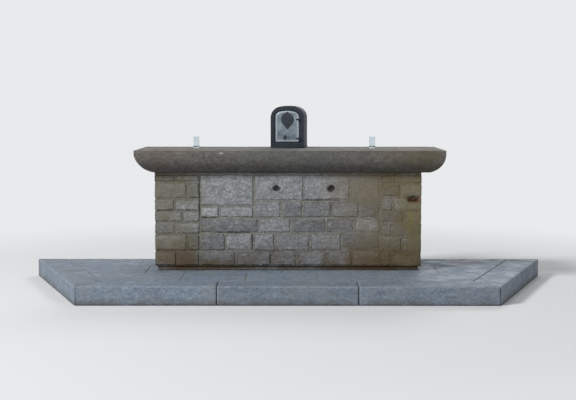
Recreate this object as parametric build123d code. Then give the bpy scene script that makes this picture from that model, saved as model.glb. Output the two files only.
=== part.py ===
from build123d import *
import math
import os

# A stone altar on its raised step, with a small iron tabernacle and two small glass vases.
# Millimetres. +Z is up, the altar's front faces -Y, and the wall that it stands against
# is at its back, +Y. The origin is at floor level, in the middle of the step.

# Step: a low platform with canted ends, longest along the wall
step_depth = 1500
step_front_width = 3240
step_back_width = 4460
step_height = 150
kerb_width = 260
kerb_nosing = 14
front_kerb_count = 3
canted_kerb_count = 2
paving_thickness = 45

# Altar base: a masonry block with two corner piers
base_width = 2210
base_depth = 580
base_height = 810
base_back_gap = 120
left_pier_width = 378
right_pier_width = 345
footing_height = 36
footing_setback = 24
bed_height = 14
bed_setback = 6

# Mensa: the altar's table slab, with a rounded underside at the front and ends. At the right
# the rounding stops short of the base, and a flat ledge is left.
mensa_height = 190
mensa_left_overhang = 150
mensa_right_overhang = 180
mensa_right_ledge = 64
mensa_front_overhang = 120
mensa_back_overhang = 100
mensa_face_height = 42
mensa_edge_bulge = 30
mensa_arris = 6

# Tabernacle: an arched iron cupboard, standing a little askew near the back of the mensa
tabernacle_width = 288
tabernacle_height = 357
tabernacle_depth = 240
tabernacle_front_x = -8
tabernacle_front_y = 460
tabernacle_turn = 7.5
arch_shoulder_radius = 95
arch_crown_radius = 290
plate_thickness = 10
plate_margin = 3
shell_thickness = 6
frame_thickness = 12
frame_band = 37
frame_sill_top = 42
frame_corner_radius = 3
frame_lap = 2

# Door of the tabernacle
door_gap = 5
door_thickness = 8
medallion_radius = 55
medallion_thickness = 7
medallion_rim_width = 6
medallion_rim_height = 3
medallion_chamfer = 2.5
medallion_rim_chamfer = 1.8
medallion_drop = 86
medallion_drop_spread = 38
medallion_height = 243
keyhole_plate_width = 24
keyhole_plate_height = 34
keyhole_plate_thickness = 2
keyhole_radius = 3.5
keyhole_slot_width = 3.5
keyhole_slot_length = 11
keyhole_offset = -19
keyhole_height = 88
lock_case_width = 56
lock_case_height = 64
lock_case_depth = 14
lock_case_wall = 2

# Hinges: an iron eye on the door turns on a pintle that is fixed to the frame
hinge_stand_off = 6
hinge_radius = 5
pintle_radius = 2.5
pintle_running_gap = 0.08
knuckle_length = 16
knuckle_gap = 0.5
pintle_tip = 2
strap_thickness = 2.5
strap_height = 14
frame_strap_length = 24
door_strap_length = 28
upper_hinge_height = 232
lower_hinge_height = 70

# Glass vases: small straight tumblers with a heavy foot
vase_height = 96
vase_radius = 26
vase_foot_chamfer = 2
vase_wall = 2.5
vase_floor = 8
vase_y = 330
left_vase_x = -775
right_vase_x = 710

# Heights and places that follow from the sizes above
step_front_y = -step_depth / 2
step_back_y = step_depth / 2
base_back_y = step_back_y - base_back_gap
base_front_y = base_back_y - base_depth
base_bottom = step_height
footing_top = base_bottom + footing_height
base_top = base_bottom + base_height
bed_bottom = base_top - bed_height
mensa_bottom = base_top
mensa_top = mensa_bottom + mensa_height
middle_left_x = -base_width / 2 + left_pier_width
middle_right_x = base_width / 2 - right_pier_width
mensa_front_y = base_front_y - mensa_front_overhang
mensa_back_y = base_back_y + mensa_back_overhang
mensa_left_x = -base_width / 2 - mensa_left_overhang
mensa_right_x = base_width / 2 + mensa_right_overhang
shell_bottom = plate_thickness
opening_half_width = tabernacle_width / 2 - frame_band
opening_bottom = frame_sill_top
opening_top = tabernacle_height - frame_band
door_half_width = opening_half_width - door_gap
door_bottom = opening_bottom + door_gap
door_top = opening_top - door_gap
hinge_u = (opening_half_width + door_half_width) / 2
hinge_v = -hinge_stand_off

# The tabernacle's own frame: x across its front, y into its depth, z up from the mensa,
# with its zero at the foot of the front face. It is turned about that point.
tabernacle_place = Location(
    (tabernacle_front_x, tabernacle_front_y, mensa_top), (0, 0, -tabernacle_turn)
)


def block(x_low, x_high, y_low, y_high, z_low, z_high):
    box = Box(x_high - x_low, y_high - y_low, z_high - z_low)
    return Pos((x_low + x_high) / 2, (y_low + y_high) / 2, (z_low + z_high) / 2) * box


# Step

def step_corner(inset, y):
    # Right-hand end of the step's outline at depth y, drawn in by inset from the canted side
    run = (step_back_width - step_front_width) / 2
    slant = math.hypot(run, step_depth) / step_depth
    half_width = step_front_width / 2 + run * (y - step_front_y) / step_depth
    return (half_width - inset * slant, y)


def prism(points, z_low, z_high):
    outline = make_face(Polyline(*points, close=True))
    return Pos(0, 0, z_low) * extrude(outline, z_high - z_low)


def between(start, end, share):
    return tuple(a + (b - a) * share for a, b in zip(start, end))


def kerb_stone(outer_start, outer_end, inner_end, inner_start):
    # One kerb stone, with its walking edge rounded
    stone = prism([outer_start, outer_end, inner_end, inner_start], 0, step_height)
    middle = between(outer_start, outer_end, 0.5)
    edge = stone.edges().sort_by_distance((*middle, step_height))[0]
    return fillet(edge, kerb_nosing)


def kerb_row(outer_line, inner_line, count):
    # Stones of equal length along the outer edge, with joints square to it
    start, end = outer_line
    length = math.dist(start, end)
    inward = (-(end[1] - start[1]) / length, (end[0] - start[0]) / length)
    joints = [(start, inner_line[0])]
    for index in range(1, count):
        outer = between(start, end, index / count)
        inner = tuple(a + b * kerb_width for a, b in zip(outer, inward))
        joints.append((outer, inner))
    joints.append((end, inner_line[1]))
    return [
        kerb_stone(outer_low, outer_high, inner_high, inner_low)
        for (outer_low, inner_low), (outer_high, inner_high) in zip(joints, joints[1:])
    ]


def left_of(point):
    return (-point[0], point[1])


def step_nodes():
    outer_front = step_corner(0, step_front_y)
    outer_back = step_corner(0, step_back_y)
    inner_front = step_corner(kerb_width, step_front_y + kerb_width)
    inner_back = step_corner(kerb_width, step_back_y)
    nodes = {}
    front = kerb_row(
        (left_of(outer_front), outer_front), (left_of(inner_front), inner_front), front_kerb_count
    )
    for index, stone in enumerate(front):
        nodes[f"step_front_kerb_{index + 1}"] = stone
    canted = kerb_row((outer_front, outer_back), (inner_front, inner_back), canted_kerb_count)
    for index, stone in enumerate(canted):
        nodes[f"step_right_kerb_{index + 1}"] = stone
        nodes[f"step_left_kerb_{index + 1}"] = mirror(stone, about=Plane.YZ)
    inner = [left_of(inner_front), inner_front, inner_back, left_of(inner_back)]
    nodes["step_core"] = prism(inner, 0, step_height - paving_thickness)
    nodes["step_paving"] = prism(inner, step_height - paving_thickness, step_height)
    return nodes


# Altar base and mensa

def base_nodes():
    half = base_width / 2
    left_pier = block(-half, middle_left_x, base_front_y, base_back_y, footing_top, bed_bottom)
    right_pier = block(middle_right_x, half, base_front_y, base_back_y, footing_top, bed_bottom)
    middle = block(
        middle_left_x, middle_right_x, base_front_y, base_back_y, footing_top, bed_bottom
    )
    footing = block(
        -half + footing_setback,
        half - footing_setback,
        base_front_y + footing_setback,
        base_back_y - footing_setback,
        base_bottom,
        footing_top,
    )
    bed = block(
        -half + bed_setback,
        half - bed_setback,
        base_front_y + bed_setback,
        base_back_y - bed_setback,
        bed_bottom,
        base_top,
    )
    return {
        "altar_footing": footing,
        "altar_left_pier": left_pier,
        "altar_right_pier": right_pier,
        "altar_middle_wall": middle,
        "mensa_mortar_bed": bed,
    }


def edge_waste(corner, outward, run, width, length):
    # What is dressed away under one edge of the slab, below its upright face. The edge is left
    # with a convex curve that runs in from the face to the slab's flat underside.
    section = Plane(origin=corner, x_dir=outward, z_dir=run)
    edge_start = (0, mensa_height - mensa_face_height)
    edge_end = (-width, 0)
    outline = [
        SagittaArc(edge_start, edge_end, mensa_edge_bulge),
        Line(edge_end, (0, 0)),
        Line((0, 0), edge_start),
    ]
    return extrude(section * make_face(Curve() + outline), length, both=True)


def mensa_slab():
    # One slab. The curved undersides of its front and ends meet in mitres at the corners.
    slab = block(mensa_left_x, mensa_right_x, mensa_front_y, mensa_back_y, mensa_bottom, mensa_top)
    reach = mensa_right_x - mensa_left_x
    right_width = mensa_right_overhang - mensa_right_ledge
    edges = [
        ((mensa_right_x, 0, mensa_bottom), (1, 0, 0), (0, -1, 0), right_width),
        ((mensa_left_x, 0, mensa_bottom), (-1, 0, 0), (0, 1, 0), mensa_left_overhang),
        ((0, mensa_front_y, mensa_bottom), (0, -1, 0), (-1, 0, 0), mensa_front_overhang),
    ]
    for corner, outward, run, width in edges:
        slab = slab - edge_waste(corner, outward, run, width, reach)
    top_edges = slab.edges().filter_by(Plane.XY).group_by(Axis.Z)[-1]
    return fillet(top_edges, mensa_arris)


# Tabernacle

def arch_face(half_width, bottom, top, inset):
    # Upright outline with a basket-handle head: two shoulder arcs and a flatter crown.
    # The arcs keep their centres as the outline is drawn in, so that all bands run parallel.
    # Drawn in by more than the shoulder's radius, the crown meets the sides in a corner.
    shoulder = max(arch_shoulder_radius - inset, 0)
    crown = arch_crown_radius - inset
    shoulder_x = half_width - shoulder
    crown_z = top - crown
    shoulder_z = crown_z + math.sqrt((crown - shoulder) ** 2 - shoulder_x ** 2)
    tilt = math.degrees(math.atan2(shoulder_z - crown_z, shoulder_x))
    outline = [
        Line((-half_width, bottom), (half_width, bottom)),
        Line((half_width, bottom), (half_width, shoulder_z)),
        CenterArc((0, crown_z), crown, tilt, 180 - 2 * tilt),
        Line((-half_width, shoulder_z), (-half_width, bottom)),
    ]
    if shoulder > 0:
        outline.append(CenterArc((shoulder_x, shoulder_z), shoulder, 0, tilt))
        outline.append(CenterArc((-shoulder_x, shoulder_z), shoulder, 180 - tilt, tilt))
    return make_face(Curve() + outline)


def upright(face, front, thickness):
    # A face drawn across and up, stood upright and run back from the depth given
    stood = Plane.XZ.offset(-front) * face
    return extrude(stood, -thickness)


def arch_plate(half_width, bottom, top, inset, front, thickness):
    return upright(arch_face(half_width, bottom, top, inset), front, thickness)


def tabernacle_shell():
    outer_half = tabernacle_width / 2 - frame_lap
    inner_half = outer_half - shell_thickness
    outer_top = tabernacle_height - frame_lap
    front = frame_thickness
    length = tabernacle_depth - frame_thickness
    outer = arch_plate(outer_half, shell_bottom, outer_top, frame_lap, front, length)
    inner = arch_plate(
        inner_half,
        shell_bottom,
        outer_top - shell_thickness,
        frame_lap + shell_thickness,
        front,
        length - shell_thickness,
    )
    return outer - inner


def tabernacle_front_frame():
    outer = arch_plate(
        tabernacle_width / 2, shell_bottom, tabernacle_height, 0, 0, frame_thickness
    )
    opening = arch_plate(
        opening_half_width, opening_bottom, opening_top, frame_band, 0, frame_thickness
    )
    frame = outer - opening
    rim = frame.faces().sort_by(Axis.Y)[0].outer_wire().edges()
    return fillet(rim, frame_corner_radius)


def door_panel():
    panel = arch_plate(
        door_half_width, door_bottom, door_top, frame_band + door_gap, 0, door_thickness
    )
    return panel - keyhole(0, door_thickness)


def medallion_nodes():
    # A round boss that runs out below in a drop-shaped point, with a raised rim round the boss
    disc = Pos(0, medallion_height) * Circle(medallion_radius)
    spread = medallion_drop_spread
    tangent_z = medallion_height - math.sqrt(medallion_radius ** 2 - spread ** 2)
    drop = make_face(
        Polyline(
            (-spread, tangent_z),
            (0, medallion_height - medallion_drop),
            (spread, tangent_z),
            (0, medallion_height),
            close=True,
        )
    )
    boss = upright(disc + drop, -medallion_thickness, medallion_thickness)
    boss = chamfer(boss.faces().sort_by(Axis.Y)[0].edges(), medallion_chamfer)
    rim_outer = medallion_radius - medallion_rim_width
    ring = Circle(rim_outer) - Circle(rim_outer - medallion_rim_width)
    ring = Pos(0, medallion_height) * ring
    rim_front = -medallion_thickness - medallion_rim_height
    rim = upright(ring, rim_front, medallion_rim_height)
    rim = chamfer(rim.faces().sort_by(Axis.Y)[0].edges(), medallion_rim_chamfer)
    centre_radius = rim_outer - 3 * medallion_rim_width
    centre = upright(
        Pos(0, medallion_height) * Circle(centre_radius), rim_front, medallion_rim_height
    )
    centre = chamfer(centre.faces().sort_by(Axis.Y)[0].edges(), medallion_rim_chamfer)
    return {
        "tabernacle_medallion": boss,
        "tabernacle_medallion_rim": rim,
        "tabernacle_medallion_centre": centre,
    }


def keyhole(front, thickness):
    hole = Pos(keyhole_offset, keyhole_height) * Circle(keyhole_radius)
    slot = Pos(keyhole_offset, keyhole_height - keyhole_slot_length / 2)
    slot = slot * Rectangle(keyhole_slot_width, keyhole_slot_length)
    return upright(hole + slot, front, thickness)


def keyhole_plate():
    face = Pos(keyhole_offset, keyhole_height) * RectangleRounded(
        keyhole_plate_width, keyhole_plate_height, keyhole_plate_width * 0.4
    )
    plate = upright(face, -keyhole_plate_thickness, keyhole_plate_thickness)
    return plate - keyhole(-keyhole_plate_thickness, keyhole_plate_thickness)


def lock_case():
    # Thin-walled iron case on the inside of the door, over the keyhole
    outer = block(
        keyhole_offset - lock_case_width / 2,
        keyhole_offset + lock_case_width / 2,
        door_thickness,
        door_thickness + lock_case_depth,
        keyhole_height - lock_case_height / 2,
        keyhole_height + lock_case_height / 2,
    )
    open_side = outer.faces().sort_by(Axis.Y)[0]
    return offset(outer, amount=-lock_case_wall, openings=open_side)


def hinge_cylinder(radius, z_low, z_high):
    upright_at_foot = (Align.CENTER, Align.CENTER, Align.MIN)
    return Pos(hinge_u, hinge_v, z_low) * Cylinder(radius, z_high - z_low, align=upright_at_foot)


def hinge_strap(length, side, z_low, z_high):
    # Flat strap against the front face, with a root as tall as the knuckle that it carries
    margin = (knuckle_length - strap_height) / 2
    outer_u = hinge_u + side * length
    flat = block(
        min(hinge_u, outer_u),
        max(hinge_u, outer_u),
        -strap_thickness,
        0,
        z_low + margin,
        z_high - margin,
    )
    root_u = hinge_u + side * hinge_radius
    root = block(min(hinge_u, root_u), max(hinge_u, root_u), hinge_v, 0, z_low, z_high)
    return flat + root


def pintle_hinge(centre_z):
    # The frame's knuckle and pin are one forging, and the door's eye sits over the pin
    knuckle_high = centre_z - knuckle_gap / 2
    knuckle_low = knuckle_high - knuckle_length
    eye_low = centre_z + knuckle_gap / 2
    eye_high = eye_low + knuckle_length
    knuckle = hinge_cylinder(hinge_radius, knuckle_low, knuckle_high)
    pin = hinge_cylinder(pintle_radius, (knuckle_low + knuckle_high) / 2, eye_high + pintle_tip)
    pintle = knuckle + hinge_strap(frame_strap_length, 1, knuckle_low, knuckle_high) + pin
    barrel = hinge_cylinder(hinge_radius, eye_low, eye_high)
    bore = hinge_cylinder(pintle_radius + pintle_running_gap, eye_low, eye_high)
    eye = barrel + hinge_strap(door_strap_length, -1, eye_low, eye_high) - bore
    return pintle, eye


def tabernacle_nodes():
    half = tabernacle_width / 2 + plate_margin
    base_plate = block(
        -half, half, -plate_margin, tabernacle_depth + plate_margin, 0, plate_thickness
    )
    upper_pintle, upper_eye = pintle_hinge(upper_hinge_height)
    lower_pintle, lower_eye = pintle_hinge(lower_hinge_height)
    nodes = {
        "tabernacle_base_plate": base_plate,
        "tabernacle_shell": tabernacle_shell(),
        "tabernacle_front_frame": tabernacle_front_frame(),
        "tabernacle_upper_pintle": upper_pintle,
        "tabernacle_lower_pintle": lower_pintle,
        "tabernacle_door_panel": door_panel(),
        "tabernacle_upper_hinge_eye": upper_eye,
        "tabernacle_lower_hinge_eye": lower_eye,
        "tabernacle_keyhole_plate": keyhole_plate(),
        "tabernacle_lock_case": lock_case(),
    }
    nodes.update(medallion_nodes())
    return {name: tabernacle_place * solid for name, solid in nodes.items()}


# Glass vases

def glass_vase():
    # Turned outline: up the outside to the lip, down the inside to the thick floor
    section = make_face(
        Polyline(
            (0, 0),
            (vase_radius - vase_foot_chamfer, 0),
            (vase_radius, vase_foot_chamfer),
            (vase_radius, vase_height),
            (vase_radius - vase_wall, vase_height),
            (vase_radius - vase_wall, vase_floor),
            (0, vase_floor),
            close=True,
        )
    )
    return revolve(Plane.XZ * section, Axis.Z)


def vase_nodes():
    vase = glass_vase()
    return {
        "left_vase": Pos(left_vase_x, vase_y, mensa_top) * vase,
        "right_vase": Pos(right_vase_x, vase_y, mensa_top) * vase,
    }


def all_nodes():
    nodes = {}
    nodes.update(step_nodes())
    nodes.update(base_nodes())
    nodes["mensa_slab"] = mensa_slab()
    nodes.update(tabernacle_nodes())
    nodes.update(vase_nodes())
    return nodes


os.makedirs("parts", exist_ok=True)
for node, solid in all_nodes().items():
    export_step(solid, f"parts/{node}.step")
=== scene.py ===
import math

import bpy
import numpy as np
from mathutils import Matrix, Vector

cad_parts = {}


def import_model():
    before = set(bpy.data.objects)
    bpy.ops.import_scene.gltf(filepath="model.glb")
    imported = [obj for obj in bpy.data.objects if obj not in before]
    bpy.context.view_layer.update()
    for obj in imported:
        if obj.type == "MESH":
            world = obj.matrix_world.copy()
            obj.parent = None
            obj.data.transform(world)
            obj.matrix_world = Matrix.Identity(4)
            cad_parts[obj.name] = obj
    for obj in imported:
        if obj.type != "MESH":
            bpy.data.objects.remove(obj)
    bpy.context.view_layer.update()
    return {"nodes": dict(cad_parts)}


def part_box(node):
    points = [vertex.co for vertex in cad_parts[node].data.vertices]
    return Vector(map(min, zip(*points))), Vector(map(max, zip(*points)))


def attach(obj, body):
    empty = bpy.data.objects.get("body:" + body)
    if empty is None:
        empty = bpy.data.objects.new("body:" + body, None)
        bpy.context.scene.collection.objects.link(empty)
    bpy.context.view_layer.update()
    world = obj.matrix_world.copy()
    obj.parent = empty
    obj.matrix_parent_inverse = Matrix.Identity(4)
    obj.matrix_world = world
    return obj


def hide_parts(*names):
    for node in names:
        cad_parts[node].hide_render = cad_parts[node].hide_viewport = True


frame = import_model()

MM = 0.001

# The photograph is 576 pixels wide, and its focal length comes to about 460 of them.
# The render shows the object larger than the photograph does, from the same place.
PHOTO_WIDTH_PX = 576
PHOTO_FOCAL_PX = 460
RENDER_ZOOM = 2.43
CAMERA_PLACE = (0.025, -9.12, 1.545)
CAMERA_TARGET = (0.0, 0.0, 0.74)
SENSOR_WIDTH = 36.0

# Masonry of the base: stones with joints between, and mortar that lies back from their faces
STONE_DEPTH = 0.055
HALF_JOINT = 3.0 * MM
CORNER_SLACK = 4.0 * MM
FACE_SLACK = 2.4 * MM
SIDE_RELIEF = 3.2 * MM
STONE_RELIEF = 4.2 * MM
ARRIS_CHIPS = 4.5 * MM
ARRIS_WEAR = 1.6 * MM
MORTAR_RECESS = 7.6 * MM
MORTAR_ROUNDING = 3.0 * MM
FLUSH_POINTING = 3.4 * MM
OPEN_JOINT_DEPTH = 9.0 * MM
FRONT_SPACING = 7.0 * MM
BACK_SPACING = 13.0 * MM
MARK_SPACING = 3.5 * MM

# Sizes of single stones: the long and short side of a corner stone, the shortest stone beside it,
# and typical lengths at the ends and the back and heights of courses at the back
CORNER_LONG = (0.235, 0.275)
CORNER_SHORT = (0.150, 0.185)
SHORTEST_STONE = 0.08
END_STONE = 0.19
BACK_STONE = 0.25
BACK_COURSE = 0.125

# Courses of the piers, from the top down
LEFT_COURSES = (0.065, 0.135, 0.100, 0.095, 0.100, 0.140, 0.125)
RIGHT_COURSES = (0.080, 0.105, 0.120, 0.095, 0.115, 0.130, 0.115)

# Runs of stones between the piers, as the photograph shows them on the front: the run's left and
# right end, its foot and its top, and the joints between. None is the edge of a pier or of the wall.
FRONT_RUNS = (
    (None, -0.282, 0.686, None, ()),
    (-0.282, None, 0.730, None, (0.128, 0.512)),
    (None, -0.282, 0.585, 0.686, (-0.567,)),
    (-0.282, None, 0.585, 0.730, (-0.058, 0.122, 0.358, 0.588)),
    (None, None, 0.462, 0.585, (-0.248, 0.022, 0.312, 0.548)),
    (None, None, 0.310, 0.462, (-0.518, -0.292, -0.110, 0.182, 0.442)),
    (None, None, None, 0.310, (-0.432, -0.142, 0.068, 0.318, 0.532)),
)

# Hollows in the front: where they are, their half-width, half-height and depth, and rust in them
FRONT_PITS = (
    (-0.092, 0.830, 0.042, 0.031, 0.020, 0.0),
    (0.358, 0.828, 0.042, 0.040, 0.026, 0.15),
    (1.030, 0.736, 0.048, 0.025, 0.022, 1.0),
)

# Where a thin run of water has stained the front below the rusty hollow
RUN_PLACE = 1.004

# Joints of the front that have lost their mortar: from x, to x, from z, to z
OPEN_JOINTS = (
    (0.122, 0.428, 0.730, 0.730),
    (0.358, 0.358, 0.610, 0.700),
    (-0.292, -0.292, 0.320, 0.450),
    (-0.727, -0.727, 0.620, 0.900),
    (-0.702, -0.592, 0.585, 0.585),
    (-0.572, -0.312, 0.462, 0.462),
    (-1.072, -0.942, 0.646, 0.646),
)

# Stones of the front that are paler or darker than the rest: a place in them, and their tone
TONED_STONES = (
    (-0.500, 0.800, 0.9),
    (-0.650, 0.630, 1.6),
    (0.100, 0.830, 0.7),
    (-0.410, 0.390, 0.8),
    (0.890, 0.700, 1.5),
    (0.955, 0.700, 1.2),
    (0.640, 0.390, -0.9),
    (-0.910, 0.250, -0.8),
)

# Mensa: its face above the rounded underside, and a pale scar, given like the hollows above
MENSA_FACE = 0.042
MENSA_ROUNDING = 0.007
MENSA_BULGE = 0.030
MENSA_RIGHT_LEDGE = 0.064
MENSA_WAVES = 2.6 * MM
MENSA_RELIEF = 2.2 * MM
MENSA_CHIPS = 7 * MM
MENSA_SCAR = (-0.540, 1.128, 0.030, 0.011, 0.006)

# Step
FLAG_ROWS = 3
FLAG_LENGTH = 0.60
SLAB_WAVES = 1.6 * MM
SLAB_RELIEF = 0.7 * MM

# Tabernacle, in its own frame: across, into its depth and up from the mensa
CUPBOARD_WIDTH = 0.288
CUPBOARD_HEIGHT = 0.357
CUPBOARD_DEPTH = 0.240
CUPBOARD_FRONT = (-0.008, 0.460)
CUPBOARD_TURN = math.radians(7.5)
SHOULDER_RADIUS = 0.095
CROWN_RADIUS = 0.290
PLATE_THICKNESS = 0.010
PLATE_MARGIN = 0.003
FRAME_THICKNESS = 0.012
FRAME_BAND = 0.037
FRAME_SILL = 0.042
FRAME_LAP = 0.002
SHELL_THICKNESS = 0.006
SHELL_STRAPS = (0.030, CUPBOARD_DEPTH - 0.022)
SHELL_STRAP_WIDTH = 0.016
BACK_SHEET_MIDDLE = (0.0, 0.17)
DOOR_GAP = 0.005
DOOR_THICKNESS = 0.008
KEYHOLE_PLACE = (-0.019, 0.088)
KEYHOLE_RADIUS = 0.0035
KEYHOLE_SLOT = (0.0035, 0.011)
HINGE_ACROSS = 0.1045
HINGE_HEIGHTS = (0.070, 0.232)
HINGE_FACE = -0.0025
HINGE_RISE = 0.00825
LOCK_CASE_WIDTH = 0.056
LOCK_CASE_HEIGHT = 0.064
LOCK_CASE_DEPTH = 0.014
MEDALLION_HEIGHT = 0.243
MEDALLION_RADIUS = 0.055
MEDALLION_SPREAD = 0.038
MEDALLION_DROP = 0.086
MEDALLION_THICKNESS = 0.007
MEDALLION_BUD = (0.19, 0.010)

# Rings of the medallion from its middle out: radius, half-width and height
MEDALLION_BOSS = (0.0, 0.0080, 1.8 * MM)
MEDALLION_PETALS = (0.0205, 0.0108, 2.2 * MM)
MEDALLION_BEADS = (0.0365, 0.0024, 1.4 * MM)
MEDALLION_RIM = (0.0455, 0.0045, 2.6 * MM)

# Raised border and line worked into the door: how far inside its edge each starts, is full and ends
DOOR_BORDER = (0.004, 0.0075, 0.011, 0.0145)
DOOR_LINE = (0.017, 0.0185, 0.020, 0.0215)
BORDER_HEIGHT = 1.5 * MM
LINE_HEIGHT = 0.9 * MM
DENT_DEPTH = 0.9 * MM

# Rivets: radius and height of the heads. Their places: along each half of the front frame, as
# shares of the way over the shell, along the hinge straps from the pintles, and in the lock case
FRAME_RIVET = (4.2 * MM, 2.6 * MM)
SHELL_RIVET = (3.4 * MM, 2.0 * MM)
LOCK_RIVET = (2.6 * MM, 1.4 * MM)
HINGE_RIVET = (2.4 * MM, 1.7 * MM)
RIVET_INSET = 0.0225
RIVET_PLACES = (0.005, 0.071, 0.151, 0.233, 0.313)
SHELL_RIVET_SHARES = (0.06, 0.19, 0.31, 0.43, 0.57, 0.69, 0.81, 0.94)
DOOR_STRAP_RIVETS = (0.0120, 0.0225)
FRAME_STRAP_RIVETS = (0.0105, 0.0185)
LOCK_RIVET_INSET = 6.5 * MM


# Noise

def lattice(cell_x, cell_y, cell_z, seed):
    """A fixed value from -1 to 1 for each point of a lattice of whole numbers"""
    mixed = (cell_x * 73856093) ^ (cell_y * 19349663) ^ (cell_z * 83492791) ^ (seed * 39916801)
    mixed = mixed & 0x7FFFFFFF
    mixed = ((mixed ^ (mixed >> 13)) * 1274126177) & 0x7FFFFFFF
    mixed = mixed ^ (mixed >> 16)
    return (mixed & 0xFFFF) / 32767.5 - 1.0


def corner_weights(share):
    """Each corner of a cell, and its weight at points that lie at a share of the way across the cell"""
    for corner in np.ndindex(2, 2, 2):
        weight = np.ones(len(share))
        for axis, far in enumerate(corner):
            weight = weight * (share[:, axis] if far else 1 - share[:, axis])
        yield corner, weight


def smooth_noise(points, size, seed):
    """Smooth noise from -1 to 1 at each point, with features of the given size"""
    turn = np.array(((0.80, 0.36, -0.48), (-0.60, 0.48, -0.64), (0.0, 0.80, 0.60)))
    cell = (np.asarray(points) @ turn) / size + 0.37 * seed
    low = np.floor(cell).astype(np.int64)
    part = cell - low
    ease = part * part * part * (part * (part * 6 - 15) + 10)
    return sum(weight * lattice(*(low + corner).T, seed) for corner, weight in corner_weights(ease))


def rough_noise(points, size, seed, octaves=3):
    layers = (smooth_noise(points, size / 2 ** layer, seed + layer) / 2 ** layer for layer in range(octaves))
    return sum(layers) / 1.6


def bumps(points, size, seed, octaves=3):
    """Rough noise as a height from 0 to about 1"""
    return 0.5 + 0.5 * rough_noise(points, size, seed, octaves)


def smoothstep(value, low, high):
    share = np.clip((value - low) / (high - low), 0, 1)
    return share * share * (3 - 2 * share)


def band(value, start, full, full_end, end):
    """1 between full and full_end, falling to 0 at start and at end"""
    return smoothstep(value, start, full) * smoothstep(value, end, full_end)


def swell(offset, half_width):
    """1 in the middle of a bead or petal, falling to 0 at half its width"""
    return np.clip(1 - (offset / half_width) ** 2, 0, 1)


# Meshes

def placed(name, data):
    """A new object of the scene"""
    made = bpy.data.objects.new(name, data)
    bpy.context.scene.collection.objects.link(made)
    return made


class Pile:
    """Closed meshes that are gathered into one piece, with values on their points for the material"""

    def __init__(self):
        self.points = []
        self.quads = []
        self.caps = []
        self.values = {"tone": [], "edge": [], "stain": [], "rust": []}
        self.count = 0

    def add(self, points, quads, caps=(), **values):
        self.points.append(points)
        self.quads.append(quads + self.count)
        self.caps.extend(np.asarray(cap) + self.count for cap in caps)
        for name, rows in self.values.items():
            rows.append(np.zeros(len(points)) + values.get(name, 0.0))
        self.count += len(points)

    def piece(self, name, slot, *replaced, body="altar", look=None):
        """Makes the piece. Its look has the slot's name unless another is given."""
        faces = np.concatenate(self.quads).tolist() + [cap.tolist() for cap in self.caps]
        mesh = bpy.data.meshes.new(name)
        mesh.from_pydata(np.concatenate(self.points), [], faces, shade_flat=False)
        mesh.validate()
        for label, rows in self.values.items():
            layer = mesh.attributes.new(label, "FLOAT", "POINT")
            layer.data.foreach_set("value", np.concatenate(rows).astype(np.float32))
        mesh.materials.append(looks[look or slot])
        made = placed(name, mesh)
        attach(made, body)
        if replaced:
            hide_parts(*replaced)


def grid_quads(plane, flip=False):
    """Quads of a grid of point numbers. They face along its first axis turned to its second."""
    quads = np.stack([plane[:-1, :-1], plane[1:, :-1], plane[1:, 1:], plane[:-1, 1:]], axis=-1)
    quads = quads.reshape(-1, 4)
    return quads[:, ::-1] if flip else quads


def border(plane, flip=False):
    loop = np.concatenate([plane[:-1, 0], plane[-1, :-1], plane[:0:-1, -1], plane[0, :0:-1]])
    return loop[::-1] if flip else loop


def block_grid(xs, ys, zs, hidden=()):
    """Surface of a block cut at the given places. A hidden side is one face, the others are grids."""
    sides = {
        "x-": (np.s_[0], True),
        "x+": (np.s_[-1], False),
        "y-": (np.s_[:, 0], False),
        "y+": (np.s_[:, -1], True),
        "z-": (np.s_[:, :, 0], True),
        "z+": (np.s_[:, :, -1], False),
    }
    points = np.stack(np.meshgrid(xs, ys, zs, indexing="ij"), axis=-1)
    used = np.zeros(points.shape[:3], bool)
    for name, (cut, _) in sides.items():
        used[cut] |= name not in hidden
    number = np.cumsum(used).reshape(used.shape) - 1
    quads = [grid_quads(number[cut], flip) for name, (cut, flip) in sides.items() if name not in hidden]
    caps = [border(number[cut], flip) for name, (cut, flip) in sides.items() if name in hidden]
    return points[used], np.concatenate(quads), caps


def cuts(low, high, radius, spacing, round_low=True, round_high=True, extra=()):
    """Where a block is cut: closer together where its edges are rounded, and at the extra places"""
    steps = radius * (1 - np.tan(np.radians((45, 30, 15, 0))))
    start, end = low + radius * round_low, high - radius * round_high
    between = np.linspace(start, end, max(1, round((end - start) / spacing)) + 1)
    inner = [place for place in extra if start < place < end]
    found = [between, low + steps * round_low, high - steps * round_high, inner]
    return np.unique(np.round(np.concatenate(found), 6))


def cut_block(low, high, radius, spacings, hidden=(), marks=((), ())):
    """Surface of a block, cut closely over marks: the middle and half the size of each, across and up"""
    places = []
    for axis, found in enumerate((marks[0], (), marks[1])):
        ends = ["xyz"[axis] + sign not in hidden for sign in "-+"]
        fine = [np.arange(middle - 1.25 * half, middle + 1.25 * half, MARK_SPACING) for middle, half in found]
        places.append(cuts(low[axis], high[axis], radius, spacings[axis], *ends, np.concatenate([[], *fine])))
    return block_grid(*places, hidden)


def shrunk(low, high, amount, kept):
    """A box drawn in by an amount, apart from the sides that are kept"""
    low = [place + amount * (axis + "-" not in kept) for place, axis in zip(low, "xyz")]
    high = [place - amount * (axis + "+" not in kept) for place, axis in zip(high, "xyz")]
    return np.array(low), np.array(high)


def rounded(points, low, high, radius, square=()):
    """Draws a block's surface in onto a block with round edges, and says how near an edge each is"""
    core = np.clip(points, *shrunk(low, high, radius, square))
    out = points - core
    length = np.linalg.norm(out, axis=1, keepdims=True)
    direction = out / np.maximum(length, 1e-9)
    edge = np.where(length[:, 0] > 0, (1 - np.abs(direction).max(axis=1)) / 0.3, 0)
    return core + direction * np.minimum(radius, length), np.clip(edge, 0, 1)


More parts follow.
